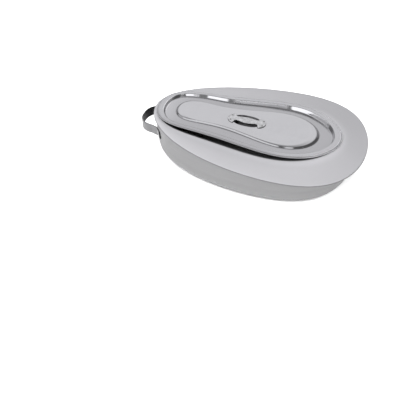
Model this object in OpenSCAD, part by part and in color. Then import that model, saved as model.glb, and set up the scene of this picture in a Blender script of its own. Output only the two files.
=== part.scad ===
// Hospital bedpan with a loose, pear-shaped lid, in pressed stainless steel.
// A deep-drawn bowl carries a saddle-shaped deck welded round its top edge.
// The deck runs down from the carry-handle end to a wide free lip at the tip.
// X runs from the carry handle (-X) to the tip (+X), Z is up, and the bowl
// stands on Z = 0 with the origin under the middle of the whole object.

/* [Deck] */
// Length of the deck from its handle end to its tip
deck_length = 355; // [335:1:375]
// Width factor of the deck outline; the deck is about 0.96 of it wide
deck_width = 270; // [250:1:290]
// Height of the deck's edge at the handle end
deck_height_handle = 78.9; // [76:0.1:82]
// Height of the deck's edge at the middle of its length
deck_height_middle = 60; // [58:0.1:62]
// Height of the deck's edge at the tip
deck_height_tip = 46.1; // [44:0.1:49]
// Depth of the edge turned down round the deck's opening
opening_turn_down = 7; // [5:0.5:10]

/* [Bowl] */
// Height at which the wall starts to round into the base
base_corner_height = 29; // [22:0.5:32]
// How far the base lies inside the wall
base_corner_inset = 22.7; // [18:0.1:28]

/* [Lid] */
// Length of the lid over its rim
lid_length = 307.6; // [300:0.1:310]
// How far the lid's side rim stands above the deck at the saddle
lid_side_gap = 9.6; // [6:0.1:11]
// Diameter of the rolled rim round the lid
lid_rim_dia = 3; // [2.6:0.1:3.4]
// Length of the finger recess in the middle of the lid
recess_length = 47; // [42:1:50]
// Width of the finger recess
recess_width = 32; // [28:1:38]
// Depth of the finger recess below the lid's panel
recess_depth = 9; // [7:0.5:11]
// How far the lid's panel is domed towards its middle
lid_crown = 0.4; // [0.2:0.1:2]

/* [Carry handle] */
// How far the carry handle reaches out from the deck's edge
handle_reach = 24.8; // [20:0.1:30]
// Half of the carry handle's outside width
handle_half_width = 33; // [30:0.5:36]
// Width of the strap that the carry handle is bent from
handle_strap = 16.5; // [14:0.5:19]
// Height of the strap's lower edge
handle_low = 41.5; // [38:0.5:44]
// Thickness of the strap
handle_thickness = 1.8; // [1.5:0.1:2.2]

/* [Lid handle] */
// Length of the lid handle over its rounded feet
grip_length = 64; // [61:1:67]
// Width of the lid handle's feet
grip_width = 28; // [26:0.5:30]
// Width of the lid handle's bridge at its middle
grip_bridge = 18.4; // [16:0.2:20]
// Width of the lid handle's two necks
grip_neck = 11; // [9:0.5:13]
// Rise of the lid handle's bridge above its feet
grip_rise = 0.8; // [0.5:0.1:2]
// Thickness of the lid handle
grip_thickness = 1.2; // [1:0.1:1.5]

/* [Sheet] */
// Thickness of the bowl and the deck
sheet = 0.8; // [0.7:0.1:1.2]
// Thickness of the lid
lid_sheet = 0.7; // [0.6:0.1:1]
// Diameter of a spot weld
spot_dia = 5; // [4:0.5:5.5]

/* [Hidden] */

N = 84;                         // points round every outline
T = [for (i = [0:N - 1]) i * 360 / N];
kx = deck_length / 355;
ky = deck_width / 270;
kl = lid_length / 307.6;
x0 = handle_reach / 2;          // puts the origin under the middle of the box

// An outline is [middle x, length, width factor, a1, a2, a3].
DECK = [0, 355, 270, 0.255, 0.072, 0.016];
WALL_TOP = [-5.0, 340.4, 260, 0.255, 0.072, 0.016];
WALL_LOW = [-6.3, 333, 244, 0.255, 0.072, 0.016];
LID_RIM = [-17.3, 307.6, 167.4, 0.037, 0.176, -0.103];
LID_STEP = [-17.9, 285.2, 149.6, 0.026, 0.196, -0.115];
LID_PANEL = [-20.4, 234.2, 100.9, 0.177, 0.322, -0.127];
OPENING = [-17.7, 293.5, 157, 0.031, 0.188, -0.110];
RECESS_X = -19.6;

function fx(o, t) = kx * (o[0] + o[1] / 2 * cos(t));
function fy(o, t) = ky * o[2] / 2 * sin(t)
    * (1 + o[3] * cos(t) + o[4] * cos(2 * t) + o[5] * cos(3 * t));
function pt(o, t) = [fx(o, t), fy(o, t)];
function unit(v) = v / norm(v);
// Outward normal of an outline
function nrm(o, t) = let (d = pt(o, t + 1) - pt(o, t - 1)) unit([d[1], -d[0]]);
function out(o, t, d) = pt(o, t) + d * nrm(o, t);
function mix(a, b, f) = a + (b - a) * f;
function clamp(v, a, b) = max(a, min(b, v));
function ease(s) = let (c = clamp(s, 0, 1)) c * c * (3 - 2 * c);

// Height of the deck's outer edge, from x
z_mean = (deck_height_handle + deck_height_tip) / 2 - deck_height_middle;
z_fall = (deck_height_tip - deck_height_handle) / 2;
function z_edge(x) = let (u = x / (kx * 177.5))
    deck_height_middle + 0.8125 * z_fall * u + z_mean * u * u
    + 0.1875 * z_fall * u * u * u;

// Plane of the lid's lowest rim line, from x
lid_z_handle = deck_height_handle + 1.7;
lid_z_tip = deck_height_tip + 10.8;
lid_x_handle = -171.1 * kx;
lid_x_tip = 136.5 * kx;
function z_lid(x) = mix(lid_z_handle, lid_z_tip,
                        (x - lid_x_handle) / (lid_x_tip - lid_x_handle));

// Height of the deck round its opening: the lid's plane less the saddle's gap
function saddle(x) = let (v = clamp((x - lid_x_handle) / (lid_x_tip - lid_x_handle), 0, 1))
    lid_side_gap * pow(sin(180 * pow(v, 0.8)), 1.3);
function z_mouth(x) = z_lid(x) - 0.3 - saddle(x);

// Deck surface: t round the outline, s from 0 at the edge to 1 at the opening
deck_crown = 1;
function z_deck(t, s) = mix(z_edge(fx(DECK, t)), z_mouth(fx(OPENING, t)), ease(s) * 0.5 + s * 0.5)
    + deck_crown * 4 * s * (1 - s);
function s_at(p, t) = norm(p - pt(DECK, t)) / norm(out(OPENING, t, 2.5) - pt(DECK, t));
function on_deck(p, t, h) = [p[0], p[1], z_deck(t, s_at(p, t)) + h];
function at_s(t, s) = mix(pt(DECK, t), out(OPENING, t, 2.5), s);

function lift(p, z) = [p[0], p[1], z];

// Closed solid from a stack of rings, with flat caps at both ends
module stack(rings) {
    n = len(rings[0]);
    m = len(rings);
    pts = [for (r = rings) for (p = r) [p[0] + x0, p[1], p[2]]];
    faces = concat(
        [[for (i = [0:n - 1]) i]],
        [for (k = [0:m - 2]) for (i = [0:n - 1]) let (j = (i + 1) % n)
            [k * n + i, (k + 1) * n + i, (k + 1) * n + j]],
        [for (k = [0:m - 2]) for (i = [0:n - 1]) let (j = (i + 1) % n)
            [k * n + i, (k + 1) * n + j, k * n + j]],
        [[for (i = [n - 1:-1:0]) (m - 1) * n + i]]);
    polyhedron(pts, faces, convexity = 10);
}

// Closed ring-shaped solid from a loop of rings
module loop(rings) {
    n = len(rings[0]);
    m = len(rings);
    pts = [for (r = rings) for (p = r) [p[0] + x0, p[1], p[2]]];
    faces = concat(
        [for (k = [0:m - 1]) let (q = (k + 1) % m) for (i = [0:n - 1]) let (j = (i + 1) % n)
            [k * n + i, q * n + i, q * n + j]],
        [for (k = [0:m - 1]) let (q = (k + 1) % m) for (i = [0:n - 1]) let (j = (i + 1) % n)
            [k * n + i, q * n + j, k * n + j]]);
    polyhedron(pts, faces, convexity = 10);
}

// Wall of the bowl at height z, grown outwards by d
function z_top(t) = z_deck(t, s_at(pt(WALL_TOP, t), t)) - sheet;
function wall(t, z, d) = let (v = (z - base_corner_height) / (z_top(t) - base_corner_height))
    mix(out(WALL_LOW, t, d), out(WALL_TOP, t, d), v);
function wall_v(t, v, d) = lift(mix(out(WALL_LOW, t, d), out(WALL_TOP, t, d), v),
                                mix(base_corner_height, z_top(t), v));
// Rounded base corner: a from 0 at the wall to 90 at the base
function corner(t, a, th) = let (
        e = base_corner_inset * (1 - cos(a)), z = base_corner_height * (1 - sin(a)),
        w = unit([cos(a) / base_corner_inset, sin(a) / base_corner_height]))
    lift(out(WALL_LOW, t, -e - th * w[0]), z + th * w[1]);

// Deep-drawn lower shell
module bowl() {
    color("silver")
    stack(concat(
        [for (a = [90:-15:0]) [for (t = T) corner(t, a, 0)]],
        [for (v = [0.5, 1]) [for (t = T) wall_v(t, v, 0)]],
        [for (v = [1]) [for (t = T) let (p = out(WALL_TOP, t, -sheet)) lift(p, z_deck(t, s_at(p, t)) - sheet)]],
        [for (v = [0.5]) [for (t = T) wall_v(t, v, -sheet)]],
        [for (a = [0:15:90]) [for (t = T) corner(t, a, sheet)]]));
}

// Pressed upper shell: the seat, with its edge lip and the turned-down mouth
lip = 2.2;
module deck() {
    color("gainsboro")
    loop(concat(
        // top face, from the edge to the mouth
        [[for (t = T) lift(pt(DECK, t), z_edge(fx(DECK, t)) - lip)],
         [for (t = T) lift(pt(DECK, t), z_edge(fx(DECK, t)) - 1.2)],
         [for (t = T) on_deck(out(DECK, t, -0.35), t, -0.35)],
         [for (t = T) on_deck(out(DECK, t, -1.2), t, 0)]],
        [for (s = [0.2, 0.4, 0.6, 0.8]) [for (t = T) lift(at_s(t, s), z_deck(t, s))]],
        [[for (t = T) lift(out(OPENING, t, 2.5), z_deck(t, 1))],
         [for (t = T) lift(out(OPENING, t, 0.73), z_deck(t, 1) - 0.73)],
         [for (t = T) lift(pt(OPENING, t), z_deck(t, 1) - 2.5)],
         [for (t = T) lift(pt(OPENING, t), z_deck(t, 1) - opening_turn_down)],
         // bottom face, from the mouth back to the edge
         [for (t = T) lift(out(OPENING, t, sheet), z_deck(t, 1) - opening_turn_down)],
         [for (t = T) lift(out(OPENING, t, sheet), z_deck(t, 1) - 2.5)],
         [for (t = T) lift(out(OPENING, t, 2.5), z_deck(t, 1) - sheet)]],
        [for (s = [0.7, 0.4]) [for (t = T) lift(at_s(t, s), z_deck(t, s) - sheet)]],
        [[for (t = T) on_deck(out(WALL_TOP, t, -sheet), t, -sheet)],
         [for (t = T) on_deck(pt(WALL_TOP, t), t, -sheet)],
         [for (t = T) on_deck(out(DECK, t, -1.3), t, -sheet)],
         [for (t = T) lift(out(DECK, t, -sheet), z_edge(fx(DECK, t)) - lip)]]));
}

// Fillet weld that joins the bowl's top edge to the underside of the deck
weld = 0.9;
module seam_weld() {
    color("gray")
    loop([[for (t = T) on_deck(pt(WALL_TOP, t), t, -sheet)],
          [for (t = T) let (z = z_top(t) - weld) lift(wall(t, z, 0), z)],
          [for (t = T) on_deck(out(WALL_TOP, t, weld), t, -sheet)]]);
}

// Carry handle: one strap whose ends lie along the bowl's wall
handle_top = handle_low + handle_strap;
foot_from = 152.5;              // where the strap's end stops on the wall
foot_to = 159.5;                // where it leaves the wall
foot_gap = 0.15;                // clearance to the wall, bridged by the welds
hx = -177.5 * kx - handle_reach;
// Half loop in plan: f from 0 at the middle to 1 where the foot begins
function loop_pt(f) = let (a = 90 * f, n = 0.75)
    [hx + handle_thickness + (handle_reach + 18) * (1 - pow(cos(a), n)),
     (handle_half_width - handle_thickness) * pow(sin(a), n)];
// Inner edge of the strap at station i, at height z, for the +Y half
function strap_at(i, z) =
    i <= 14 ? let (p = loop_pt(i / 14 * 0.80)) lift(p, z) :
    let (t = mix(foot_to, foot_from, (i - 15) / 4)) lift(wall(t, z, foot_gap), z);
function strap_dir(i, z) = let (
        a = strap_at(max(0, i - 1), z), b = strap_at(min(19, i + 1), z),
        a2 = i == 0 ? [b[0], -b[1], z] : a)
    unit([b[1] - a2[1], -(b[0] - a2[0])]);
function strap_out(i, z) = let (p = strap_at(i, z), n = strap_dir(i, z))
    [p[0] - n[0] * handle_thickness, p[1] - n[1] * handle_thickness, z];
function flip(p) = [p[0], -p[1], p[2]];
module carry_handle() {
    st = [for (i = [19:-1:1]) [i, true], for (i = [0:19]) [i, false]];
    rings = [for (s = st) let (
            q = [strap_at(s[0], handle_low), strap_out(s[0], handle_low),
                 strap_out(s[0], handle_top), strap_at(s[0], handle_top)])
        s[1] ? [for (p = q) flip(p)] : q];
    color("silver") stack(rings);
}

// A spot weld through one sheet into the next, with its axis along v
module spot(p, v, l) {
    h = norm([v[0], v[1]]);
    translate([p[0] + x0, p[1], p[2]])
        rotate([0, atan2(h, v[2]), atan2(v[1], v[0])])
            cylinder(d = spot_dia, h = l, center = true, $fn = 32);
}

// Spot welds that hold the carry handle's two feet to the bowl
module carry_handle_spot_welds() {
    color("gray")
    for (m = [1, -1]) for (z = [handle_low + 4.5, handle_top - 4.5]) {
        t = (foot_from + foot_to) / 2;
        p = wall(t, z, foot_gap + handle_thickness / 2 - 0.1);
        n = nrm(WALL_LOW, t);
        spot([p[0], m * p[1], z], [n[0], m * n[1], 0], handle_thickness + 0.5);
    }
}

// Plan of the lid: q is 0 on the rim, 10 on the step, 34 on the panel's edge,
// 60 on the recess's edge and 75 on the recess's floor
function full(v) = sign(v) * pow(abs(v), 2 / 2.6);
function recess_pt(t, d) = [kx * RECESS_X + (recess_length / 2 - d) * full(cos(t)),
                            (recess_width / 2 - d) * full(sin(t))];
function lid_pt(t, q) =
    q <= 10 ? mix(pt(LID_RIM, t) * kl, pt(LID_STEP, t) * kl, q / 10) :
    q <= 34 ? mix(pt(LID_STEP, t), pt(LID_PANEL, t), (q - 10) / 24) * kl :
    q <= 60 ? mix(pt(LID_PANEL, t) * kl, recess_pt(t, 0), (q - 34) / 26) :
    recess_pt(t, q - 60);
// Inside the rim the lid falls a little more towards the tip than the rim does
inner_fall = -1.43 / 118;
function lid3(t, q, h) = let (p = lid_pt(t, q))
    lift(p, z_lid(p[0]) + h + inner_fall * (p[0] - kx * RECESS_X) * min(1, max(0, (q - 10) / 3)));

flange_h = lid_rim_dia;         // top of the rim above its lowest line
groove_h = -2.6;                // outer end of the sunk ring
groove_in = -1.8;               // inner end of the sunk ring
panel_h = 1.2;                  // raised panel at its edge
top_h = panel_h + lid_crown;    // raised panel at the recess
function dome(q) = let (f = (q - 34) / 26) panel_h + lid_crown * f * (2 - f);
r_rim = lid_rim_dia / 2;

// Pressed lid: rolled rim, step, sunk ring, raised panel and finger recess
module lid() {
    ls = lid_sheet;
    // [q, h] pairs over the top face from the recess to the rim, then back underneath
    top = [[70, top_h - recess_depth], [66.5, top_h - recess_depth + 1],
           [62, top_h - 2], [59.6, dome(59.6)], [53, dome(53)], [46, dome(46)], [40, dome(40)],
           [35.2, dome(35.2)], [34, panel_h - 0.4],
           [31.6, groove_in + 0.4], [30, groove_in],
           [14.2, groove_h], [13, groove_h + 0.6], [11, flange_h - 0.8], [9.6, flange_h]];
    rim = [[1.5 * r_rim, flange_h], [0.3 * r_rim, 1.75 * r_rim], [0, r_rim],
           [0.3 * r_rim, 0.25 * r_rim], [r_rim, 0], [1.8 * r_rim, 0.4 * r_rim],
           [2.1 * r_rim, flange_h - ls]];
    back = [[9.2, flange_h - ls], [10, flange_h - ls - 0.8], [12.2, groove_h - 0.2],
            [13.6, groove_h - ls], [30.4, groove_in - ls], [32.2, groove_in - ls + 0.4],
            [34.8, panel_h - ls - 0.2], [36, dome(36) - ls], [40, dome(40) - ls],
            [46, dome(46) - ls], [53, dome(53) - ls], [58.8, dome(58.8) - ls], [61, top_h - ls - 2],
            [65.8, top_h - recess_depth + 0.4 - ls], [70, top_h - recess_depth - ls]];
    color("gainsboro")
    stack([for (r = concat([for (i = [len(back) - 1:-1:0]) back[i]],
                           [for (i = [len(rim) - 1:-1:0]) rim[i]],
                           [for (i = [len(top) - 1:-1:0]) top[i]]))
            [for (t = T) lid3(t, r[0], r[1])]]);
}

// Lid handle: a plate with two rounded feet and a waisted bridge over the recess
grip_tilt = atan((lid_z_tip - lid_z_handle) / (lid_x_tip - lid_x_handle) + inner_fall);
foot_l = (grip_length - recess_length) / 2 - 0.5;
module grip_frame() {
    gx = kx * RECESS_X;
    translate([gx + x0, 0, z_lid(gx) + top_h]) rotate([0, -grip_tilt, 0]) children();
}
module lid_handle() {
    g = grip_length / 2;
    r = grip_width / 2;
    f = g - foot_l;
    a = [for (i = [0:12]) let (u = i / 12) [mix(-f, -f + 9, u), grip_rise * ease(u)]];
    b = [for (i = [12:-1:0]) let (u = i / 12) [mix(f, f - 9, u), grip_rise * ease(u)]];
    line = concat([[-g, 0]], a, b, [[g, 0]]);
    // Quarter of the plan, from the middle of the bridge to the end of a foot
    k = g - r;
    neck = grip_neck / 2;
    plan = concat([for (i = [0:8]) let (u = i / 8) [(k - 1) * u, neck + (grip_bridge / 2 - neck) * (1 + cos(180 * u)) / 2]],
                  [[k + 0.6, neck + 0.6], [k + 1.5, neck + 2.2], [k + 2, neck + 4.6], [k + 2.6, r - 1.7]],
                  [for (i = [0:14]) let (w = 74 - 74 * i / 14) [k + r * cos(w), r * sin(w)]]);
    n = len(plan);
    color("silver") grip_frame() translate([0, 0, 0.05]) intersection() {
        rotate([90, 0, 0]) linear_extrude(grip_width + 2, center = true)
            polygon(concat(line, [for (i = [len(line) - 1:-1:0]) line[i] + [0, grip_thickness]]));
        linear_extrude(60, center = true) polygon(concat(
            plan, [for (i = [n - 2:-1:0]) [plan[i][0], -plan[i][1]]],
            [for (i = [1:n - 1]) [-plan[i][0], -plan[i][1]]],
            [for (i = [n - 2:-1:1]) [-plan[i][0], plan[i][1]]]));
    }
}

// Spot welds that hold the lid handle's feet to the lid
module lid_handle_spot_welds() {
    color("gray") grip_frame() for (m = [1, -1]) for (y = [-6.5, 6.5])
        translate([m * (grip_length / 2 - 5.4), y, -0.4])
            cylinder(d = spot_dia - 1, h = grip_thickness + 0.65, $fn = 32);
}

bowl();
deck();
seam_weld();
carry_handle();
carry_handle_spot_welds();
lid();
lid_handle();
lid_handle_spot_welds();
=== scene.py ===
import math

import bpy
import bmesh
import numpy as np
from mathutils import Matrix, Vector


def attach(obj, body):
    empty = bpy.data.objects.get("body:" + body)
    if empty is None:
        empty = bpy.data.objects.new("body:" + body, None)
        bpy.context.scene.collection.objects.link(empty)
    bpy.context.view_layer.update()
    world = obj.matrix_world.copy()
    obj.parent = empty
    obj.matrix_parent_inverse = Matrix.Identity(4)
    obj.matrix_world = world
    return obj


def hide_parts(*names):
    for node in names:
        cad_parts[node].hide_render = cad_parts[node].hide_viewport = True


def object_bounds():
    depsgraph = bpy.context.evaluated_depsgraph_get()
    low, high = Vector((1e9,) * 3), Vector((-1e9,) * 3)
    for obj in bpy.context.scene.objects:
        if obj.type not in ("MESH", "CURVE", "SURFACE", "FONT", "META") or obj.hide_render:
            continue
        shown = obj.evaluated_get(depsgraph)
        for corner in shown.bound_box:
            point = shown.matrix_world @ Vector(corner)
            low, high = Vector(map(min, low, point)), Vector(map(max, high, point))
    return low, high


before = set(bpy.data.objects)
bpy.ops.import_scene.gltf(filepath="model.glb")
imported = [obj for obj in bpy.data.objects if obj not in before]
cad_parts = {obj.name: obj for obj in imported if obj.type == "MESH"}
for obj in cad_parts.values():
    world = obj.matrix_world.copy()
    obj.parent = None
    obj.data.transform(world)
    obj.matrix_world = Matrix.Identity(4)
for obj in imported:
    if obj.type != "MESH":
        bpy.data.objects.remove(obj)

cad_lo, cad_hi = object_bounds()
MM = 0.001
X0 = 12.4                # the model's own shift along X, as in part.scad
PI = math.pi

# ----------------------------------------------------------------------------
# Shape rules, the same as part.scad's, in millimetres
# ----------------------------------------------------------------------------
DECK = (0, 355, 270, 0.255, 0.072, 0.016)
WALL_TOP = (-5.0, 340.4, 260, 0.255, 0.072, 0.016)
WALL_LOW = (-6.3, 333, 244, 0.255, 0.072, 0.016)
LID_RIM = (-17.3, 307.6, 167.4, 0.037, 0.176, -0.103)
LID_STEP = (-17.9, 285.2, 149.6, 0.026, 0.196, -0.115)
LID_PANEL = (-20.4, 234.2, 100.9, 0.177, 0.322, -0.127)
OPENING = (-17.7, 293.5, 157, 0.031, 0.188, -0.110)
RECESS_X = -19.6
RECESS_L, RECESS_W, RECESS_D, CROWN = 47.0, 32.0, 9.0, 0.4
Z_HANDLE, Z_MID, Z_TIP = 78.9, 60.0, 46.1
TURN_DOWN = 7.0
CORNER_H, CORNER_IN = 29.0, 22.7
SHEET, LID_SHEET = 0.8, 0.7
LIP = 2.2
WELD = 0.9
SIDE_GAP = 9.6
RIM = 3.0
REACH, HANDLE_HALF, STRAP, HANDLE_LOW, HANDLE_T = 24.8, 33.0, 16.5, 41.5, 1.8
GRIP_L, GRIP_W, GRIP_BRIDGE, GRIP_NECK, GRIP_RISE, GRIP_T = 64.0, 28.0, 18.4, 11.0, 0.8, 1.2


def pt(o, t):
    t = np.asarray(t, float)
    return np.stack([o[0] + o[1] / 2 * np.cos(t),
                     o[2] / 2 * np.sin(t) * (1 + o[3] * np.cos(t) + o[4] * np.cos(2 * t) + o[5] * np.cos(3 * t))], -1)


def nrm(o, t):
    t = np.asarray(t, float)
    d = pt(o, t + 1e-3) - pt(o, t - 1e-3)
    n = np.stack([d[..., 1], -d[..., 0]], -1)
    return n / np.linalg.norm(n, axis=-1, keepdims=True)


def out(o, t, d):
    return pt(o, t) + d * nrm(o, t)


def ease(s):
    c = np.clip(s, 0, 1)
    return c * c * (3 - 2 * c)


Z_MEAN = (Z_HANDLE + Z_TIP) / 2 - Z_MID
Z_FALL = (Z_TIP - Z_HANDLE) / 2


def z_edge(x):
    u = x / 177.5
    return Z_MID + 0.8125 * Z_FALL * u + Z_MEAN * u * u + 0.1875 * Z_FALL * u ** 3


LZ_H, LZ_T = Z_HANDLE + 1.7, Z_TIP + 10.8
LX_H, LX_T = -171.1, 136.5
LID_SLOPE = (LZ_T - LZ_H) / (LX_T - LX_H)


def z_lid(x):
    return LZ_H + LID_SLOPE * (x - LX_H)


def saddle(x):
    v = np.clip((x - LX_H) / (LX_T - LX_H), 0, 1)
    return SIDE_GAP * np.sin(PI * v ** 0.8) ** 1.3


def z_mouth(x):
    return z_lid(x) - 0.3 - saddle(x)


def z_deck(t, s):
    a = z_edge(pt(DECK, t)[..., 0])
    b = z_mouth(pt(OPENING, t)[..., 0])
    return a + (b - a) * (ease(s) * 0.5 + s * 0.5) + 4 * s * (1 - s)


def s_at(p, t):
    return (np.linalg.norm(p - pt(DECK, t), axis=-1)
            / np.linalg.norm(out(OPENING, t, 2.5) - pt(DECK, t), axis=-1))


def at_s(t, s):
    a = pt(DECK, t)
    return a + (out(OPENING, t, 2.5) - a) * s


def lift(p, z):
    return np.concatenate([p, np.broadcast_to(np.asarray(z, float), p.shape[:-1])[..., None]], -1)


# ----------------------------------------------------------------------------
# Mesh helpers
# ----------------------------------------------------------------------------
def arc_outline(o, n):
    """n angles that lie at equal steps of length round an outline."""
    t = np.linspace(0, 2 * PI, 7201)
    p = pt(o, t)
    d = np.r_[0, np.cumsum(np.linalg.norm(np.diff(p, axis=0), axis=1))]
    return np.interp(np.linspace(0, d[-1], n + 1)[:-1], d, t)


def fillet(pts, seg=6, line=1.2):
    """A polyline of (a, b, radius) points with its corners rounded, its straight runs cut to steps of about line."""
    res = []
    n = len(pts)

    def run(p, q):
        k = max(1, int(math.ceil(np.linalg.norm(q - p) / line)))
        for i in range(k):
            res.append(p + (q - p) * i / k)

    last = np.array(pts[0][:2], float)
    for i in range(1, n - 1):
        p0, p1, p2 = (np.array(pts[i + k][:2], float) for k in (-1, 0, 1))
        r = pts[i][2]
        u, v = p0 - p1, p2 - p1
        lu, lv = np.linalg.norm(u), np.linalg.norm(v)
        u, v = u / lu, v / lv
        ang = math.acos(max(-1, min(1, float(u @ v))))
        if r <= 0 or ang > PI - 1e-3:
            run(last, p1)
            last = p1
            continue
        d = min(r / math.tan(ang / 2), 0.48 * lu, 0.48 * lv)
        r = d * math.tan(ang / 2)
        a, b = p1 + u * d, p1 + v * d
        c = p1 + (u + v) / np.linalg.norm(u + v) * (r / math.sin(ang / 2))
        a0 = math.atan2(*(a - c)[::-1])
        a1 = math.atan2(*(b - c)[::-1])
        da = (a1 - a0 + PI) % (2 * PI) - PI
        run(last, a)
        k = max(3, int(seg * abs(da) / (PI / 2) + 1))
        for j in range(k):
            w = a0 + da * j / k
            res.append(c + r * np.array([math.cos(w), math.sin(w)]))
        last = b
    end = np.array(pts[-1][:2], float)
    run(last, end)
    res.append(end)
    return np.array(res)


def build(name, rings, closed=False, caps=True, marks=None):
    """A mesh from rings of points in millimetres, with a UV map in metres: u round the ring, v along the profile.
    marks holds per-point values by name, for painted light and shade and for polish, each one value per ring or one per
    point."""
    R = np.array(rings, float)
    m, n = R.shape[:2]
    P = R.copy()
    P[..., 0] += X0
    P *= MM
    P = np.clip(P, np.array(cad_lo) + 2e-6 * np.array([1, 1, 0]), np.array(cad_hi) - 2e-6)
    me = bpy.data.meshes.new(name)
    verts = P.reshape(-1, 3)
    faces, uvs = [], []
    mid = P[m // 2]
    du = np.linalg.norm(np.roll(mid, -1, 0) - mid, axis=1)
    U = np.r_[0, np.cumsum(du)]
    step = np.linalg.norm(np.diff(np.concatenate([P, P[:1]]) if closed else P, axis=0), axis=2).mean(1)
    V = np.r_[0, np.cumsum(step)]
    for k in range(m if closed else m - 1):
        q = (k + 1) % m
        for i in range(n):
            j = (i + 1) % n
            faces.append((k * n + i, q * n + i, q * n + j, k * n + j))
            uvs += [(U[i], V[k]), (U[i], V[k + 1]), (U[i + 1], V[k + 1]), (U[i + 1], V[k])]
    if caps and not closed:
        for ring, flip in ((0, False), (m - 1, True)):
            ids = [ring * n + i for i in range(n)]
            faces.append(tuple(ids[::-1] if flip else ids))
            uvs += [(float(verts[i][0]), float(verts[i][1])) for i in (ids[::-1] if flip else ids)]
    me.from_pydata([tuple(v) for v in verts], [], faces)
    layer = me.uv_layers.new(name="UVMap")
    layer.data.foreach_set("uv", np.array(uvs, np.float32).ravel())
    bm = bmesh.new()
    bm.from_mesh(me)
    bmesh.ops.recalc_face_normals(bm, faces=bm.faces)
    if bm.calc_volume(signed=True) < 0:
        bmesh.ops.reverse_faces(bm, faces=bm.faces)
    bm.to_mesh(me)
    bm.free()
    me.polygons.foreach_set("use_smooth", [True] * len(me.polygons))
    for key, vals in (marks or {}).items():
        at = me.attributes.new(key, "FLOAT", "POINT")
        v = np.array(vals, np.float32)
        at.data.foreach_set("value", (np.repeat(v, n) if v.ndim == 1 else v.ravel()))
    me.update()
    ob = bpy.data.objects.new(name, me)
    bpy.context.scene.collection.objects.link(ob)
    return ob


def ripple(x, y, seed, wave=70.0):
    """Slow, small unevenness of a pressed sheet, from a few fixed sine waves, in -1..1."""
    rs = np.random.RandomState(seed)
    z = np.zeros(np.broadcast(x, y).shape)
    for _ in range(6):
        a = rs.uniform(0, 2 * PI)
        f = 2 * PI / (wave * rs.uniform(0.7, 1.6))
        z = z + np.sin(f * (x * math.cos(a) + y * math.sin(a)) + rs.uniform(0, 2 * PI))
    return z / 6


# ----------------------------------------------------------------------------
# Materials
# ----------------------------------------------------------------------------
def nodes_of(mat):
    mat.use_nodes = True
    nt = mat.node_tree
    for n in list(nt.nodes):
        nt.nodes.remove(n)
    return nt


def add(nt, kind, **kw):
    n = nt.nodes.new(kind)
    for k, v in kw.items():
        setattr(n, k, v)
    return n


def noise(nt, vec, scale, detail=4.0, rough=0.55, dist=0.0):
    n = add(nt, "ShaderNodeTexNoise")
    n.inputs["Scale"].default_value = scale
    n.inputs["Detail"].default_value = detail
    n.inputs["Roughness"].default_value = rough
    n.inputs["Distortion"].default_value = dist
    nt.links.new(vec, n.inputs["Vector"])
    return n.outputs["Fac"]


def maprange(nt, val, a, b, c, d, smooth=False):
    n = add(nt, "ShaderNodeMapRange")
    if smooth:
        n.interpolation_type = "SMOOTHSTEP"
    n.inputs["From Min"].default_value = a
    n.inputs["From Max"].default_value = b
    n.inputs["To Min"].default_value = c
    n.inputs["To Max"].default_value = d
    nt.links.new(val, n.inputs["Value"])
    return n.outputs["Result"]


def math_node(nt, op, a, b=None):
    n = add(nt, "ShaderNodeMath", operation=op)
    if op == "WRAP":                                # to the range -b..b
        n.inputs[2].default_value = -b
    for i, v in enumerate((a, b)):
        if v is None:
            continue
        if isinstance(v, (int, float)):
            n.inputs[i].default_value = v
        else:
            nt.links.new(v, n.inputs[i])
    return n.outputs[0]


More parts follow.
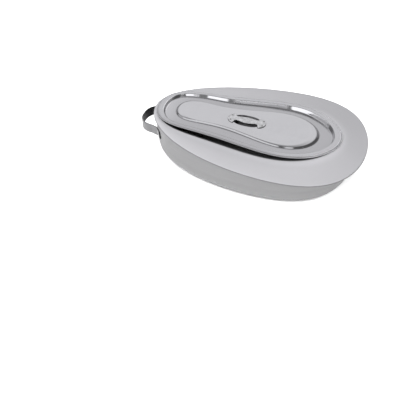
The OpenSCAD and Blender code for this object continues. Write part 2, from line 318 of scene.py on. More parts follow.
def steel(name, base, rough, grain=(30.0, 2600.0), grain_amount=0.05, bump=0.05, cloud=0.05, aniso=0.35,
          scratches=0.5, coords="UV", metallic=1.0, crevice_shade=0.0, reach=0.008, shaded=False, polish=None,
          cloud_scale=14.0):
    """Satin stainless steel: fine polishing grain along the sheet, faint clouding, wiping marks and hairline scratches."""
    mat = bpy.data.materials.new(name)
    nt = nodes_of(mat)
    out_n = add(nt, "ShaderNodeOutputMaterial")
    bsdf = add(nt, "ShaderNodeBsdfPrincipled")
    nt.links.new(bsdf.outputs[0], out_n.inputs["Surface"])
    bsdf.inputs["Metallic"].default_value = metallic
    bsdf.inputs["Anisotropic"].default_value = aniso
    tc = add(nt, "ShaderNodeTexCoord")
    if coords == "UV":
        vec = tc.outputs["UV"]
    else:
        vec = tc.outputs["Object"]
    mp = add(nt, "ShaderNodeMapping")
    mp.inputs["Scale"].default_value = (grain[0], grain[1], grain[1] if coords != "UV" else 1.0)
    nt.links.new(vec, mp.inputs["Vector"])
    grain_f = noise(nt, mp.outputs[0], 1.0, 3.0, 0.6)
    mp2 = add(nt, "ShaderNodeMapping")
    mp2.inputs["Scale"].default_value = (grain[0] * 0.35, grain[1] * 0.16, grain[1] * 0.16 if coords != "UV" else 1.0)
    nt.links.new(vec, mp2.inputs["Vector"])
    streak_f = noise(nt, mp2.outputs[0], 1.0, 4.0, 0.6)
    cloud_f = noise(nt, tc.outputs["Object"], cloud_scale, 5.0, 0.55, 0.6)
    fine_f = noise(nt, tc.outputs["Object"], 160.0, 3.0, 0.6)
    # hairline scratches: thin crests of a warped, stretched noise
    mp3 = add(nt, "ShaderNodeMapping")
    mp3.inputs["Rotation"].default_value = (0, 0, 0.5)
    mp3.inputs["Scale"].default_value = (22, 420, 60)
    nt.links.new(tc.outputs["Object"], mp3.inputs["Vector"])
    scr = noise(nt, mp3.outputs[0], 1.0, 1.0, 0.5, 1.2)
    scr_f = maprange(nt, scr, 0.66, 0.72, 0.0, 1.0, True)

    # base colour: slow clouding and a trace of the grain
    ramp = add(nt, "ShaderNodeMix", data_type="RGBA")
    ramp.inputs[6].default_value = (*[c * (1 - cloud) for c in base], 1)
    ramp.inputs[7].default_value = (*[min(1, c * (1 + cloud)) for c in base], 1)
    mix_f = math_node(nt, "ADD", math_node(nt, "MULTIPLY", cloud_f, 0.6), math_node(nt, "MULTIPLY", streak_f, 0.4))
    nt.links.new(maprange(nt, mix_f, 0.3, 0.7, 0, 1), ramp.inputs[0])
    colour = ramp.outputs[2]
    if shaded:
        # painted light and shade where the mesh is marked, 1 for none
        mark = add(nt, "ShaderNodeAttribute", attribute_name="painted_light_and_shade")
        shade_paint = add(nt, "ShaderNodeMix", data_type="RGBA", blend_type="MULTIPLY")
        shade_paint.inputs[0].default_value = 1.0
        nt.links.new(colour, shade_paint.inputs[6])
        nt.links.new(mark.outputs["Fac"], shade_paint.inputs[7])
        colour = shade_paint.outputs[2]
    if crevice_shade > 0:
        # painted shade: the base colour darkened in corners and crevices, from ambient occlusion
        ao = add(nt, "ShaderNodeAmbientOcclusion", samples=8)
        ao.inputs["Distance"].default_value = reach
        dull = add(nt, "ShaderNodeMix", data_type="RGBA", blend_type="MULTIPLY")
        nt.links.new(maprange(nt, ao.outputs["AO"], 0.25, 0.95, 1, 0), dull.inputs[0])
        nt.links.new(colour, dull.inputs[6])
        dull.inputs[7].default_value = (1 - crevice_shade, 1 - crevice_shade, 1 - crevice_shade, 1)
        colour = dull.outputs[2]
    nt.links.new(colour, bsdf.inputs["Base Color"])

    # roughness: grain, streaks, clouding, and smoother hairlines
    r = math_node(nt, "ADD", maprange(nt, grain_f, 0.3, 0.7, -grain_amount, grain_amount),
                  maprange(nt, streak_f, 0.3, 0.7, -grain_amount, grain_amount))
    r = math_node(nt, "ADD", r, maprange(nt, cloud_f, 0.3, 0.7, -0.03, 0.05))
    r = math_node(nt, "ADD", r, maprange(nt, fine_f, 0.3, 0.7, -0.015, 0.015))
    r = math_node(nt, "ADD", r, math_node(nt, "MULTIPLY", scr_f, 0.05 * scratches))
    r = math_node(nt, "ADD", r, rough)
    if polish is not None:
        # the marked rings were buffed to a brighter finish than the flats
        buff = add(nt, "ShaderNodeAttribute", attribute_name="buffed")
        blend = add(nt, "ShaderNodeMix", data_type="FLOAT", clamp_factor=False)
        nt.links.new(buff.outputs["Fac"], blend.inputs[0])
        nt.links.new(r, blend.inputs[2])
        blend.inputs[3].default_value = polish
        r = blend.outputs[0]
    clamp = add(nt, "ShaderNodeClamp")
    clamp.inputs["Min"].default_value = 0.05
    clamp.inputs["Max"].default_value = 0.7
    nt.links.new(r, clamp.inputs["Value"])
    nt.links.new(clamp.outputs[0], bsdf.inputs["Roughness"])

    # bump: the grain's fine ridges and the scratches
    h = math_node(nt, "ADD", math_node(nt, "MULTIPLY", grain_f, 0.6), math_node(nt, "MULTIPLY", streak_f, 0.8))
    h = math_node(nt, "SUBTRACT", h, math_node(nt, "MULTIPLY", scr_f, scratches))
    b = add(nt, "ShaderNodeBump")
    b.inputs["Strength"].default_value = bump
    b.inputs["Distance"].default_value = 0.00006
    nt.links.new(h, b.inputs["Height"])
    nt.links.new(b.outputs[0], bsdf.inputs["Normal"])
    return mat


def assign(ob, mat):
    ob.data.materials.clear()
    ob.data.materials.append(mat)


# crevice_shade paints shade into the corners of the bowl, lid and grip; shaded takes painted light and shade from the
# mesh marks
M_BOWL = steel("bowl_satin", (0.129, 0.129, 0.1305), 0.48, grain=(18, 2200), cloud=0.03, aniso=0.3, bump=0.02,
               metallic=0.25, crevice_shade=0.7, reach=0.007)
M_DECK = steel("deck_satin", (0.215, 0.2135, 0.222), 0.48, grain=(12, 1800), cloud=0.02, aniso=0.2, grain_amount=0.03,
               bump=0.012, metallic=0.15, shaded=True)
M_LID = steel("lid_polish", (0.545, 0.543, 0.558), 0.17, grain=(14, 2000), cloud=0.055, aniso=0.1, grain_amount=0.02,
              bump=0.012, metallic=0.95, crevice_shade=0.2, reach=0.006, shaded=True, polish=0.06)
M_STRAP = steel("strap_satin", (0.108, 0.108, 0.110), 0.38, grain=(20, 2400), cloud=0.16, aniso=0.3, bump=0.03,
                metallic=0.4, cloud_scale=120.0)
# near-black steel for the strap's inner face and sheared ends: painted shade
M_STRAP_SHADE = steel("strap_inner_painted_shade", (0.03, 0.03, 0.032), 0.45, grain=(20, 1400), cloud=0.25, aniso=0.1, bump=0.05,
                   metallic=0.8)
M_GRIP = steel("grip_satin", (0.49, 0.49, 0.50), 0.18, grain=(20, 2400), cloud=0.34, aniso=0.1, bump=0.05, metallic=0.9,
               crevice_shade=0.6, reach=0.004, cloud_scale=170.0)
M_WELD = steel("weld_dressed", (0.30, 0.295, 0.29), 0.30, grain=(200, 1400), cloud=0.12, aniso=0.0, scratches=0.2)

# ----------------------------------------------------------------------------
# Deck: the pressed upper shell
# ----------------------------------------------------------------------------
def deck_z(p, t):
    return z_deck(t, s_at(p, t))


def make_deck():
    t = arc_outline(DECK, 420)
    rings = []
    top_edge = 1.2
    ze = z_edge(pt(DECK, t)[:, 0])
    # outside of the edge lip, then round onto the top face
    edge_shade = {}
    rings.append(lift(out(DECK, t, -0.12), ze - LIP + 0.02))
    rings.append(lift(pt(DECK, t), ze - LIP + 0.2))
    rings.append(lift(pt(DECK, t), ze - LIP + 0.6))
    for a in np.linspace(0, PI / 2, 8):
        p = out(DECK, t, -top_edge * (1 - math.cos(a)))
        z = deck_z(p, t)
        f = math.sin(a)
        rings.append(lift(p, (ze - top_edge) * (1 - f) + z * f))
        edge_shade[len(rings) - 1] = 0.71 * ease((1.1 - a) / 0.5)
    for k in (0, 1, 2):
        edge_shade[k] = 0.71
    for s in np.linspace(0, 1, 44)[1:-1]:
        p = at_s(t, s)
        inside = np.linalg.norm(p - pt(DECK, t), axis=1) > top_edge * 1.6
        if not inside.all():
            continue
        z = z_deck(t, s)
        rings.append(lift(p, z))
    # round down into the turned edge of the mouth
    zm = z_deck(t, 1.0)
    mouth = len(rings)
    for a in np.linspace(0, PI / 2, 10):
        rings.append(lift(out(OPENING, t, 2.5 * (1 - math.sin(a))), zm - 2.5 * (1 - math.cos(a))))
    for k in (0.25, 0.5, 0.75, 0.93):
        rings.append(lift(pt(OPENING, t), zm - 2.5 - (TURN_DOWN - 2.5) * k))
    # rounded lower edge of the turned flange
    for a in np.linspace(0.2, PI - 0.2, 5):
        rings.append(lift(out(OPENING, t, SHEET / 2 - SHEET / 2 * math.cos(a)), zm - TURN_DOWN + SHEET / 2 - SHEET / 2 * math.sin(a)))
    for k in (0.93, 0.6, 0.3):
        rings.append(lift(out(OPENING, t, SHEET), zm - 2.5 - (TURN_DOWN - 2.5) * k))
    for a in np.linspace(PI / 2, 0, 7):
        rings.append(lift(out(OPENING, t, 2.5 - (2.5 - SHEET) * math.sin(a)), zm - 2.5 + (2.5 - SHEET) * math.cos(a)))
    for s in np.linspace(0.96, 0.1, 16):
        rings.append(lift(at_s(t, s), z_deck(t, s) - SHEET))
    p = out(DECK, t, -1.4)
    rings.append(lift(p, deck_z(p, t) - SHEET))
    p = out(DECK, t, -0.95)
    rings.append(lift(p, ze - 1.4))
    rings.append(lift(out(DECK, t, -SHEET), ze - LIP + 0.4))
    rings.append(lift(out(DECK, t, -SHEET + 0.15), ze - LIP + 0.02))
    # painted shade on the outer edge lip and its rounding, and on the turned edge of the mouth and the whole back face;
    # painted light on a band before the mouth, and a painted light falloff, darker towards the tip and the far side
    side = 1 - 0.07 * np.cos(t) - 0.03 * np.sin(t)
    marks = [side * (1 + 0.2 * ease((k - mouth + 16) / 14.0)) * (1 - 0.93 * edge_shade.get(k, ease((k - mouth + 3.3) / 2.0)))
             for k in range(len(rings))]
    return build("deck_shell", rings, closed=True, marks={"painted_light_and_shade": marks})


deck = make_deck()
assign(deck, M_DECK)
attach(deck, "pan")
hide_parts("deck")


# ----------------------------------------------------------------------------
# Bowl: the deep-drawn lower shell
# ----------------------------------------------------------------------------
def make_bowl():
    t = arc_outline(WALL_LOW, 360)
    o = WALL_LOW
    zt = z_deck(t, s_at(pt(WALL_TOP, t), t)) - SHEET
    rings = []

    def base(f, z):
        p = out(o, t, -CORNER_IN)
        c = np.array([-6.3, 0.0])
        return lift(c + (p - c) * f, z)

    def corner(a, th):
        e = CORNER_IN * (1 - math.cos(a))
        z = CORNER_H * (1 - math.sin(a))
        w = np.array([math.cos(a) / CORNER_IN, math.sin(a) / CORNER_H])
        w /= np.linalg.norm(w)
        return lift(out(o, t, -e - th * w[0]), z + th * w[1])

    def wall(v, d):
        p = out(WALL_LOW, t, d) * (1 - v) + out(WALL_TOP, t, d) * v
        return lift(p, CORNER_H * (1 - v) + zt * v)

    for f in (0.02, 0.15, 0.3, 0.45, 0.6, 0.75, 0.88, 0.96):
        rings.append(base(f, 0.0))
    for a in np.linspace(PI / 2, 0, 20):
        rings.append(corner(a, 0))
    for v in np.linspace(0, 1, 12)[1:]:
        rings.append(wall(v, 0))
    p = out(WALL_TOP, t, -SHEET)
    rings.append(lift(p, z_deck(t, s_at(p, t)) - SHEET))
    for v in np.linspace(1, 0, 10)[1:-1]:
        rings.append(wall(v, -SHEET))
    for a in np.linspace(0, PI / 2, 16):
        rings.append(corner(a, SHEET))
    for f in (0.96, 0.88, 0.75, 0.6, 0.45, 0.3, 0.15, 0.02):
        rings.append(base(f, SHEET))
    return build("bowl_shell", rings)


bowl = make_bowl()
assign(bowl, M_BOWL)
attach(bowl, "pan")
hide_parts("bowl")


# ----------------------------------------------------------------------------
# Seam weld: a fine rippled fillet under the deck's overhang
# ----------------------------------------------------------------------------
def make_seam():
    t = arc_outline(WALL_TOP, 1500)
    n = nrm(WALL_TOP, t)
    p0 = pt(WALL_TOP, t)
    rip = 0.5 + 0.5 * np.sin(np.arange(1500) * 2 * PI / 3.0)
    rings = []
    w = WELD - 0.04
    zt = z_deck(t, s_at(p0, t)) - SHEET
    # section: corner, along the deck's underside, bulged face, along the wall
    pts = [(0.0, 0.0), (w, 0.0)]
    for a in np.linspace(0.15, 0.85, 4):
        pts.append((w * (1 - a), -w * a))
    pts.append((0.0, -w))
    for i, (d, h) in enumerate(pts):
        bulge = np.zeros(len(t))
        if 1 < i < len(pts) - 1:
            bulge = 0.10 + 0.10 * rip
        p = p0 + (d + bulge * 0.7)[:, None] * n if np.ndim(bulge) else p0 + d * n
        z = (z_deck(t, s_at(p, t)) - SHEET if h == 0.0 and i < 2 else zt + h - bulge * 0.7)
        if i == len(pts) - 1:
            v = (zt - w - CORNER_H) / (zt - CORNER_H)
            p = pt(WALL_LOW, t) * (1 - v)[:, None] + pt(WALL_TOP, t) * v[:, None]
            z = zt - w
        rings.append(lift(p, z))
    return build("seam_bead", rings, closed=True)


seam = make_seam()
assign(seam, M_WELD)
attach(seam, "pan")
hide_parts("seam_weld")


# ----------------------------------------------------------------------------
# Lid: the pressed cover
# ----------------------------------------------------------------------------
def full(v):
    return np.sign(v) * np.abs(v) ** (2 / 2.6)


def recess_pt(t, d):
    return np.stack([RECESS_X + (RECESS_L / 2 - d) * full(np.cos(t)), (RECESS_W / 2 - d) * full(np.sin(t))], -1)


def lid_pt(t, q):
    if q <= 10:
        a, b, f = pt(LID_RIM, t), pt(LID_STEP, t), q / 10
    elif q <= 34:
        a, b, f = pt(LID_STEP, t), pt(LID_PANEL, t), (q - 10) / 24
    elif q <= 60:
        a, b, f = pt(LID_PANEL, t), recess_pt(t, 0), (q - 34) / 26
    elif q <= 70:
        return recess_pt(t, q - 60)
    else:
        c = np.array([RECESS_X, 0.0])
        return c + (recess_pt(t, 10) - c) * max(0.0, (80 - q) / 10)
    return a + (b - a) * f


# the pressed step isn't quite true along its far side: offsets in millimetres at stations along X
UNEVEN_X = np.array([-156, -129, -98, -53, -25, 28, 60, 90.0])
UNEVEN = np.array([0, -0.6, 0.7, -0.7, -0.1, -0.4, 0.5, 0])


def uneven(x):
    i = np.clip(np.searchsorted(UNEVEN_X, x) - 1, 0, len(UNEVEN_X) - 2)
    return UNEVEN[i] + (UNEVEN[i + 1] - UNEVEN[i]) * ease((x - UNEVEN_X[i]) / (UNEVEN_X[i + 1] - UNEVEN_X[i]))


R_RIM = RIM / 2
FLANGE, STEP_FOOT, GROOVE_IN, PANEL = RIM, -2.3, -1.8, 1.2
INNER_FALL = -1.43 / 118
FLOOR = PANEL - RECESS_D


def make_lid():
    t = arc_outline(LID_STEP, 420)
    ls = LID_SHEET
    top = fillet([(79.7, FLOOR, 0), (68.0, FLOOR, 4.0), (61.0, PANEL, 1.3), (48, PANEL, 0), (34.3, PANEL, 2.9),
                  (32.2, GROOVE_IN, 2.9), (13.0, STEP_FOOT, 1.3), (10.4, FLANGE, 2.0), (3.2, FLANGE, 0)], seg=16, line=1.2)
    # the rolled rim, from the flange's top round to its underside
    rim = []
    for a in np.linspace(PI / 2, PI * 1.5 + 0.9, 18):
        rim.append((R_RIM * 1.5 + R_RIM * 1.5 * math.cos(a), R_RIM + R_RIM * math.sin(a)))
    rim = np.array(rim)
    back = fillet([(3.4, FLANGE - ls, 0.0), (10.0, FLANGE - ls, 1.3), (12.6, STEP_FOOT - ls, 2.0),
                   (32.7, GROOVE_IN - ls, 2.3), (34.6, PANEL - ls, 1.3), (60.4, PANEL - ls, 1.2),
                   (67.4, FLOOR - ls, 3.6), (79.7, FLOOR - ls, 0)], seg=8, line=2.0)
    rings, painted_light_and_shade, buffed = [], [], []
    for q, h in np.concatenate([top, rim, back]):
        p = lid_pt(t, q)
        tip = ease((p[:, 0] - 78) / 30)
        # masks along the far step: rougher round the handle end, along its middle and near the wide end; the same masks
        # paint highlights and shade into the colour below
        far = ease(p[:, 1] / 20)
        middle = ease((p[:, 0] + 62) / 10) * ease((38 - p[:, 0]) / 8) * far
        end = (ease((-154.5 - p[:, 0]) / 2.2) * ease((p[:, 1] + 25) / 20) + 0.55 * ease((p[:, 0] + 147) / 2) * ease((-140 - p[:, 0]) / 2) * far
               + 0.4 * ease((p[:, 0] + 125) / 3) * ease((-114 - p[:, 0]) / 3) * far)
        dark = ease((p[:, 0] + 155) / 3) * ease((-146 - p[:, 0]) / 2) * far
        dull = 2.8 * end + 2.0 * middle + 3 * ease((p[:, 0] - 74) / 10) * ease((110 - p[:, 0]) / 8) * far
        buffed.append(ease((q - 8.5) / 1.5) * ease((15.5 - q) / 1.5) * (1 - dull)
                      + 0.6 * ease((q - 28.5) / 1.5) * ease((38.5 - q) / 2) - 1.6 * ease(3.8 - q))
        off = uneven(p[:, 0]) * ease(p[:, 1] / 15) * ease((q - 4) / 5) * ease((26 - q) / 9)
        p = p + off[:, None] * nrm(LID_STEP, t)
        f = ease((q - 34) / 6) * ease((58 - q) / 10)
        u = np.clip((q - 34) / 26, 0, 1)
        z = z_lid(p[:, 0]) + h + CROWN * u * (2 - u) + 0.08 * f * ripple(p[:, 0], p[:, 1], 5, 60)
        z = z + INNER_FALL * (p[:, 0] - RECESS_X) * ease((q - 9.5) / 4)
        g = ease((q - 14) / 4) * ease((31 - q) / 3)
        z = z + 0.07 * g * ripple(p[:, 0], p[:, 1], 9, 45)
        rings.append(lift(p, z))
        # painted light and shade: the trough darker than the panel, except at its handle end; the near flange and
        # the rolled edge darker too, the rolled edge lighter at the tip end, and the recess under the grip dark
        body = ease((p[:, 0] + 168) / 50)
        groove = ease((q - 12.5) / 2) * ease((33 - q) / 2)
        flange = ease((13 - q) / 2) * ease((20 - p[:, 1]) / 50) * body * (1 - 0.9 * ease((p[:, 0] - 10) / 50))
        c = 1 - 0.2 * groove * body - 0.14 * flange - 0.07 * ease((11 - q) / 2) - 0.3 * ease((1.6 - q) / 1.2) * (1 - tip) + 0.5 * ease((3.4 - q) / 1.2) * tip
        c = c * (1 - 0.9 * ease((q - 60.2) / 1.2))
        # painted reflections: thin dark lines along both bends of the panel's edge
        near = ease((5 - p[:, 1]) / 30) * ease((p[:, 0] + 128) / 20) * ease((96 - p[:, 0]) / 24)
        c = c * (1 - 0.5 * near * (1 - min(1, abs(q - 35.3) / 0.9)) - 0.42 * (1 - min(1, abs(q - 31.4) / 0.9)))
        # painted shade on the panel's edge band and along the middle of the far step; painted highlights and painted
        # shade at the step's handle end
        c = c * (1 - 0.42 * ease((q - 31.8) / 0.8) * ease((34.8 - q) / 0.8))
        c = c * (1 - 0.33 * middle * ease((q - 11) / 0.8) * ease((14.2 - q) / 0.8))
        c = c * (1 + (0.8 * end - 0.45 * dark) * ease((q - 9) / 0.8) * ease((15 - q) / 0.8))
        painted_light_and_shade.append(c)
    return build("lid_shell", rings, marks={"painted_light_and_shade": painted_light_and_shade, "buffed": buffed})


lid = make_lid()
assign(lid, M_LID)
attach(lid, "lid")
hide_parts("lid")


# ----------------------------------------------------------------------------
# Carry handle: one bent strap with softened edges
# ----------------------------------------------------------------------------
def wall_pt(t, z, d):
    t = np.asarray(t, float)
    zt = z_deck(t, s_at(pt(WALL_TOP, t), t)) - SHEET
    v = (z - CORNER_H) / (zt - CORNER_H)
    return out(WALL_LOW, t, d) * (1 - v)[..., None] + out(WALL_TOP, t, d) * v[..., None]


HX = -177.5 - REACH
FOOT_FROM, FOOT_TO, FOOT_GAP = math.radians(152.5), math.radians(159.5), 0.15


def loop_pt(f):
    a, n = PI / 2 * f, 0.75
    return np.array([HX + HANDLE_T + (REACH + 18) * (1 - math.cos(a) ** n),
                     (HANDLE_HALF - HANDLE_T) * math.sin(a) ** n])


def make_handle():
    # control stations of the inner face, as in part.scad, then a smooth curve through them
    ctrl = [loop_pt(i / 14 * 0.80) for i in range(15)]
    zc = HANDLE_LOW + STRAP / 2
    for i in range(15, 20):
        t = FOOT_TO + (FOOT_FROM - FOOT_TO) * (i - 15) / 4
        ctrl.append(wall_pt(np.array([t]), zc, FOOT_GAP)[0])
    ctrl = np.array(ctrl)
    full = np.concatenate([ctrl[::-1] * [1, -1], ctrl[1:]])
    d = np.r_[0, np.cumsum(np.linalg.norm(np.diff(full, axis=0), axis=1))]
    # Catmull-Rom through the stations
    def spline(s):
        i = int(np.clip(np.searchsorted(d, s) - 1, 0, len(full) - 2))
        u = (s - d[i]) / (d[i + 1] - d[i])
        p1, p2 = full[i], full[i + 1]
        m1 = (p2 - full[max(i - 1, 0)]) / (d[i + 1] - d[max(i - 1, 0)]) * (d[i + 1] - d[i])
        m2 = (full[min(i + 2, len(full) - 1)] - p1) / (d[min(i + 2, len(full) - 1)] - d[i]) * (d[i + 1] - d[i])
        return (p1 * (2 * u ** 3 - 3 * u ** 2 + 1) + m1 * (u ** 3 - 2 * u ** 2 + u)
                + p2 * (-2 * u ** 3 + 3 * u ** 2) + m2 * (u ** 3 - u ** 2))
    total = d[-1]
    n_st = 260
    ss = np.linspace(0, total, n_st)
    line = np.array([spline(s) for s in ss])
    tan = np.gradient(line, axis=0)
    tan /= np.linalg.norm(tan, axis=1, keepdims=True)
    nor = np.stack([-tan[:, 1], tan[:, 0]], -1)
    if (nor[n_st // 2] @ np.array([-1.0, 0.0])) < 0:
        nor = -nor                                  # outwards, away from the bowl
    # section of the strap: half width by thickness with rounded edges
    r = 0.55
    sec = []
    hw = STRAP / 2

    def corner(cx, cz, a0):
        for a in np.linspace(a0, a0 + PI / 2, 5):
            sec.append((cx + r * math.cos(a), cz + r * math.sin(a)))
    corner(HANDLE_T - r, hw - r, 0)
    corner(r, hw - r, PI / 2)
    first = len(sec) - 1
    for k in np.linspace(0, 1, 8)[1:-1]:
        sec.append((0.0, (hw - r) * (1 - 2 * k)))
    last = len(sec)
    corner(r, -hw + r, PI)
    corner(HANDLE_T - r, -hw + r, 1.5 * PI)
    for k in np.linspace(0, 1, 8)[1:-1]:
        sec.append((HANDLE_T, -(hw - r) * (1 - 2 * k)))
    sec = np.array(sec)
    rings = []
    end_r = 3.5                                     # rounded corners of the strap's ends
    # the strap's width narrows at both ends, where the corners round off
    for i in range(n_st):
        e = min(ss[i], total - ss[i])
        w = 1.0
        if e < end_r:
            w = (hw - end_r + math.sqrt(max(0.0, end_r ** 2 - (end_r - e) ** 2))) / hw
        ring = []
        side = 1 if line[i][1] >= 0 else -1
        for (x, zz) in sec:
            zz2 = zz * w
            p = line[i] + nor[i] * x
            # the feet lean with the wall
            e_foot = min(ss[i], total - ss[i])
            lean = ease((22.0 - e_foot) / 10.0)
            if lean > 0:
                ta = FOOT_FROM + (FOOT_TO - FOOT_FROM) * np.clip(e_foot / 16.0, 0, 1)
                dz = wall_pt(np.array([ta]), zc + zz2, 0)[0] - wall_pt(np.array([ta]), zc, 0)[0]
                p = p + np.array([dz[0], dz[1] * side]) * lean
            ring.append((p[0], p[1], zc + zz2))
        rings.append(ring)
    ob = build("carry_strap", rings)
    ob.data.materials.append(M_STRAP)
    ob.data.materials.append(M_STRAP_SHADE)
    n = len(sec)
    # the inner face gets the near-black material: painted shade
    for k in range(n_st - 1):
        for i in range(first - 3, last + 2):
            ob.data.polygons[k * n + i].material_index = 1
    # the sheared ends and the strip next to them get the near-black material too: painted shade
    for face in ob.data.polygons:
        k = face.index // n
        if len(face.vertices) > 4 or min(ss[k], total - ss[min(k + 1, n_st - 1)]) < 1.3:
            face.material_index = 1
    return ob


handle = make_handle()
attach(handle, "pan")
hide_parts("carry_handle")


# ----------------------------------------------------------------------------
# Lid handle: a short strap with rounded feet that bridges the recess
# ----------------------------------------------------------------------------
GRIP_TILT = math.atan(LID_SLOPE + INNER_FALL)


def grip_frame(P):
    """Points in the grip's own frame to the model's frame, in millimetres before the shift."""
    c, s = math.cos(GRIP_TILT), math.sin(GRIP_TILT)
    x = P[..., 0] * c - P[..., 2] * s
    z = P[..., 0] * s + P[..., 2] * c
    return np.stack([x + RECESS_X, P[..., 1], z + z_lid(RECESS_X) + PANEL + CROWN], -1)


def grip_z(x):
    f = GRIP_L / 2 - ((GRIP_L - RECESS_L) / 2 - 0.5)
    return 0.05 + GRIP_RISE * ease((f - np.abs(x)) / 9.0)


def grip_plan(n):
    """Outline of the grip, n points at equal steps of length, from the middle of one side round."""
    r = GRIP_W / 2
    k = GRIP_L / 2 - r
    neck = GRIP_NECK / 2

    def half(bridge):
        q = [((k - 1) * u, neck + (bridge - neck) * (1 + math.cos(PI * u)) / 2) for u in np.linspace(0, 1, 9)]
        q += [(k + 0.6, neck + 0.6), (k + 1.5, neck + 2.2), (k + 2, neck + 4.6), (k + 2.6, r - 1.7)]
        q += [(k + r * math.cos(w), r * math.sin(w)) for w in np.radians(np.linspace(74, 0, 15))]
        return np.array(q)

    # pressed a little off centre: the far half of the bridge is the narrower one
    q, w = half(GRIP_BRIDGE / 2 - 1.5), half(GRIP_BRIDGE / 2 - 0.2)
    loop = np.concatenate([q, (w * [1, -1])[::-1][1:], (w * [-1, -1])[1:], (q * [-1, 1])[::-1][1:-1]])
    # round the corners off: resample finely, then average along the outline
    c = np.concatenate([loop, loop[:1]])
    d = np.r_[0, np.cumsum(np.linalg.norm(np.diff(c, axis=0), axis=1))]
    s = np.linspace(0, d[-1], n + 1)[:-1]
    f = np.stack([np.interp(s, d, c[:, 0]), np.interp(s, d, c[:, 1])], -1)
    for _ in range(12):
        f = 0.5 * f + 0.25 * (np.roll(f, 1, 0) + np.roll(f, -1, 0))
    return f


def make_grip():
    n = 480
    plan = grip_plan(n)
    d = np.roll(plan, -1, 0) - np.roll(plan, 1, 0)
    nor = np.stack([-d[:, 1], d[:, 0]], -1)
    nor /= np.linalg.norm(nor, axis=1, keepdims=True)      # inwards or outwards
    if (nor[0] @ plan[0]) > 0:
        nor = -nor                                         # inwards
    mid = np.stack([np.clip(plan[:, 0], -18.0, 18.0) * 0.96, plan[:, 1] * 0.0], -1)

    def ring(e, f, up):
        """The outline drawn in by e, then shrunk by f towards the grip's long axis."""
        P = plan + nor * e
        P = P + (mid - P) * f
        z = grip_z(P[:, 0]) + up
        across = np.linalg.norm(P - mid, axis=1) / np.linalg.norm(plan - mid, axis=1)
        crown = 0.3 * ease((19 - np.abs(P[:, 0])) / 8) * (1 - across ** 2)
        return np.column_stack([P, z + crown])

    e = 0.5
    steps = np.linspace(0, 0.985, 9)
    rings = [ring(e, f, 0.0) for f in steps[::-1]]
    for a in np.linspace(-PI / 2, 0, 6)[1:]:
        rings.append(ring(e * (1 - math.cos(a)), 0, e + e * math.sin(a)))
    for a in np.linspace(0, PI / 2, 7)[1:]:
        rings.append(ring(e * (1 - math.cos(a)), 0, GRIP_T - e + e * math.sin(a)))
    rings += [ring(e, f, GRIP_T) for f in steps[1:]]
    return build("lid_grip", [grip_frame(R) for R in rings])


grip = make_grip()
assign(grip, M_GRIP)
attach(grip, "lid")
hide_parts("lid_handle")


# ----------------------------------------------------------------------------
# Spot welds: shallow electrode dimples with a raised ring
# ----------------------------------------------------------------------------
def nugget(centre, axis, radius, low, high):
    """One closed lathe shape about axis, from low to high along it, dished on its outer face."""
    axis = np.array(axis, float)
    axis /= np.linalg.norm(axis)
    a = np.cross(axis, [0, 0, 1.0])
    if np.linalg.norm(a) < 0.1:
        a = np.array([1.0, 0, 0])
    a /= np.linalg.norm(a)
    b = np.cross(axis, a)
    prof = [(0.02, low), (radius * 0.8, low), (radius * 0.98, low + 0.1), (radius * 0.98, high - 0.12),
            (radius * 0.9, high - 0.02), (radius * 0.78, high), (radius * 0.6, high - 0.05),
            (radius * 0.3, high - 0.11), (0.02, high - 0.13)]
    w = np.linspace(0, 2 * PI, 49)[:-1]
    return [np.array(centre) + h * axis + r * (np.cos(w)[:, None] * a + np.sin(w)[:, None] * b) for r, h in prof]


def join(name, obs):
    bm = bmesh.new()
    for o in obs:
        bm.from_mesh(o.data)
    me = bpy.data.meshes.new(name)
    bm.to_mesh(me)
    bm.free()
    for o in obs:
        m = o.data
        bpy.data.objects.remove(o)
        bpy.data.meshes.remove(m)
    ob = bpy.data.objects.new(name, me)
    bpy.context.scene.collection.objects.link(ob)
    return ob


spots = []
for m in (1, -1):
    for z in (HANDLE_LOW + 4.5, HANDLE_LOW + STRAP - 4.5):
        ta = np.array([(FOOT_FROM + FOOT_TO) / 2])
        p = wall_pt(ta, z, 0)[0]
        n = nrm(WALL_LOW, ta)[0]
        spots.append(build("s", nugget((p[0], m * p[1], z), (n[0], m * n[1], 0), 2.5, 0.02, FOOT_GAP + HANDLE_T + 0.13)))
pan_spots = join("carry_handle_nuggets", spots)
assign(pan_spots, M_WELD)
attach(pan_spots, "pan")
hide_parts("carry_handle_spot_welds")

spots = []
for m in (1, -1):
    for y in (-6.5, 6.5):
        c = grip_frame(np.array([[m * (GRIP_L / 2 - 5.4), y, 0.0]]))[0]
        spots.append(build("s", nugget(c, (-math.sin(GRIP_TILT), 0, math.cos(GRIP_TILT)), 2.0, -0.38, 0.05 + GRIP_T + 0.14)))
lid_spots = join("lid_handle_nuggets", spots)
assign(lid_spots, M_WELD)
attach(lid_spots, "lid")
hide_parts("lid_handle_spot_welds")


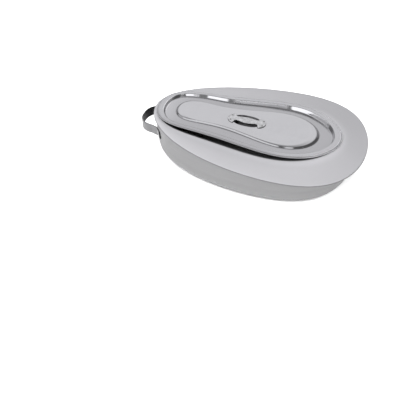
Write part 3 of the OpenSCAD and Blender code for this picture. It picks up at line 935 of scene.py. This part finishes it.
# ----------------------------------------------------------------------------
# Floor, light and camera
# ----------------------------------------------------------------------------
def make_floor():
    me = bpy.data.meshes.new("floor")
    s = 6.0
    me.from_pydata([(-s, -s, 0), (s, -s, 0), (s, s, 0), (-s, s, 0)], [], [(0, 1, 2, 3)])
    ob = bpy.data.objects.new("floor", me)
    bpy.context.scene.collection.objects.link(ob)
    mat = bpy.data.materials.new("floor_pale")
    nt = nodes_of(mat)
    o = add(nt, "ShaderNodeOutputMaterial")
    b = add(nt, "ShaderNodeBsdfPrincipled")
    nt.links.new(b.outputs[0], o.inputs["Surface"])
    tc = add(nt, "ShaderNodeTexCoord")
    n = noise(nt, tc.outputs["Object"], 3.0, 3.0, 0.5)
    mx = add(nt, "ShaderNodeMix", data_type="RGBA")
    mx.inputs[6].default_value = (0.83, 0.83, 0.835, 1)
    mx.inputs[7].default_value = (0.86, 0.86, 0.86, 1)
    nt.links.new(n, mx.inputs[0])
    nt.links.new(mx.outputs[2], b.inputs["Base Color"])
    b.inputs["Roughness"].default_value = 0.85
    b.inputs["Specular IOR Level"].default_value = 0.2
    ob.data.materials.append(mat)
    return ob


make_floor()


def make_world():
    w = bpy.data.worlds.new("studio")
    bpy.context.scene.world = w
    nt = nodes_of(w)
    o = add(nt, "ShaderNodeOutputWorld")
    bg = add(nt, "ShaderNodeBackground")
    nt.links.new(bg.outputs[0], o.inputs["Surface"])
    tc = add(nt, "ShaderNodeTexCoord")
    sp = add(nt, "ShaderNodeSeparateXYZ")
    nt.links.new(tc.outputs["Generated"], sp.inputs[0])
    x, y, z = sp.outputs
    deg = 57.29578
    az = math_node(nt, "MULTIPLY", math_node(nt, "ARCTAN2", x, math_node(nt, "MULTIPLY", y, -1.0)), deg)
    el = math_node(nt, "MULTIPLY", math_node(nt, "ARCSINE", z), deg)
    absaz = math_node(nt, "ABSOLUTE", az)

    def band(v, a, b, soft):
        up = maprange(nt, v, a - soft, a + soft, 0, 1, True)
        dn = maprange(nt, v, b - soft, b + soft, 1, 0, True)
        return math_node(nt, "MULTIPLY", up, dn)

    def light(azb, elb, level, soft_a=4, soft_e=5, v=az):
        m = math_node(nt, "MULTIPLY", band(v, azb[0], azb[1], soft_a), band(el, elb[0], elb[1], soft_e))
        return math_node(nt, "MULTIPLY", m, level)

    total = math_node(nt, "ADD", 0.10, 0.0)
    # lit back wall, turned a little to one side: strongest low down, fading upwards
    turn = math_node(nt, "ABSOLUTE", math_node(nt, "WRAP", math_node(nt, "ADD", az, 160.0), 180.0))
    back = math_node(nt, "MULTIPLY", maprange(nt, turn, 26, 46, 1, 0, True), maprange(nt, el, 44, 76, 0.82, 0.06, True))
    back = math_node(nt, "MULTIPLY", back, maprange(nt, el, 10, 25, 0.2, 1, True))
    for part in (back,
                 light((-51, -2.5), (-4, 60), 1.7, 1.5, 4),
                 light((-96, -52), (-12, 60), 0.95, 3, 4),
                 light((-1, 8), (-4, 60), 0.08, 1.5, 4),
                 light((8.5, 13.5), (-4, 34), 0.4, 2, 4),
                 maprange(nt, el, 60, 76, 0, 0.2, True),
                 light((14, 39), (-4, 60), 1.7, 1.5, 4)):
        total = math_node(nt, "ADD", total, part)
    col = add(nt, "ShaderNodeCombineColor")
    nt.links.new(total, col.inputs[0])
    nt.links.new(total, col.inputs[1])
    nt.links.new(math_node(nt, "MULTIPLY", total, 1.02), col.inputs[2])
    nt.links.new(col.outputs[0], bg.inputs["Color"])
    bg.inputs["Strength"].default_value = 1.0


make_world()


def area(name, loc, target, size, power, size_y=None, spread=180):
    d = bpy.data.lights.new(name, "AREA")
    d.shape = "RECTANGLE"
    d.size = size
    d.size_y = size_y or size
    d.energy = power
    ob = bpy.data.objects.new(name, d)
    ob.location = loc
    ob.rotation_euler = (Vector(target) - Vector(loc)).to_track_quat("-Z", "Y").to_euler()
    bpy.context.scene.collection.objects.link(ob)
    return ob


# three soft lamps round the front and one behind, so that every side of the wall is lit alike
for name, turn, high, dist, size, power in (("left", -50, 58, 1.5, 1.1, 22), ("front", 4, 52, 2.2, 1.5, 46),
                                            ("right", 62, 40, 2.1, 1.5, 57), ("back", 184, 60, 2.2, 1.6, 6)):
    a, h = math.radians(turn), math.radians(high)
    lamp = area(name, (dist * math.cos(h) * math.sin(a), -dist * math.cos(h) * math.cos(a), dist * math.sin(h)),
                (0, 0, 0.03), size, power)
    lamp.visible_glossy = False

cam_d = bpy.data.cameras.new("camera")
cam = bpy.data.objects.new("camera", cam_d)
bpy.context.scene.collection.objects.link(cam)
CAM = (235.2, -951.8, 716.8, 19.86, 39.46, -3.13, 714.1)
az, el, roll = (math.radians(v) for v in CAM[3:6])
r = Vector((math.cos(az), math.sin(az), 0))
u = Vector((-math.sin(az) * math.sin(el), math.cos(az) * math.sin(el), math.cos(el)))
f = Vector((-math.sin(az) * math.cos(el), math.cos(az) * math.cos(el), -math.sin(el)))
r2 = math.cos(roll) * r + math.sin(roll) * u
u2 = -math.sin(roll) * r + math.cos(roll) * u
m = Matrix.Identity(4)
for i in range(3):
    m[i][0], m[i][1], m[i][2] = r2[i], u2[i], -f[i]
m[0][3], m[1][3], m[2][3] = (CAM[0] + X0) * MM, CAM[1] * MM, CAM[2] * MM
cam.matrix_world = m
cam_d.sensor_width = 36.0
cam_d.lens = CAM[6] / 400 * 36.0
cam_d.clip_start, cam_d.clip_end = 0.05, 50
bpy.context.scene.camera = cam
bpy.context.scene.view_settings.view_transform = "Standard"
bpy.context.scene.view_settings.look = "None"
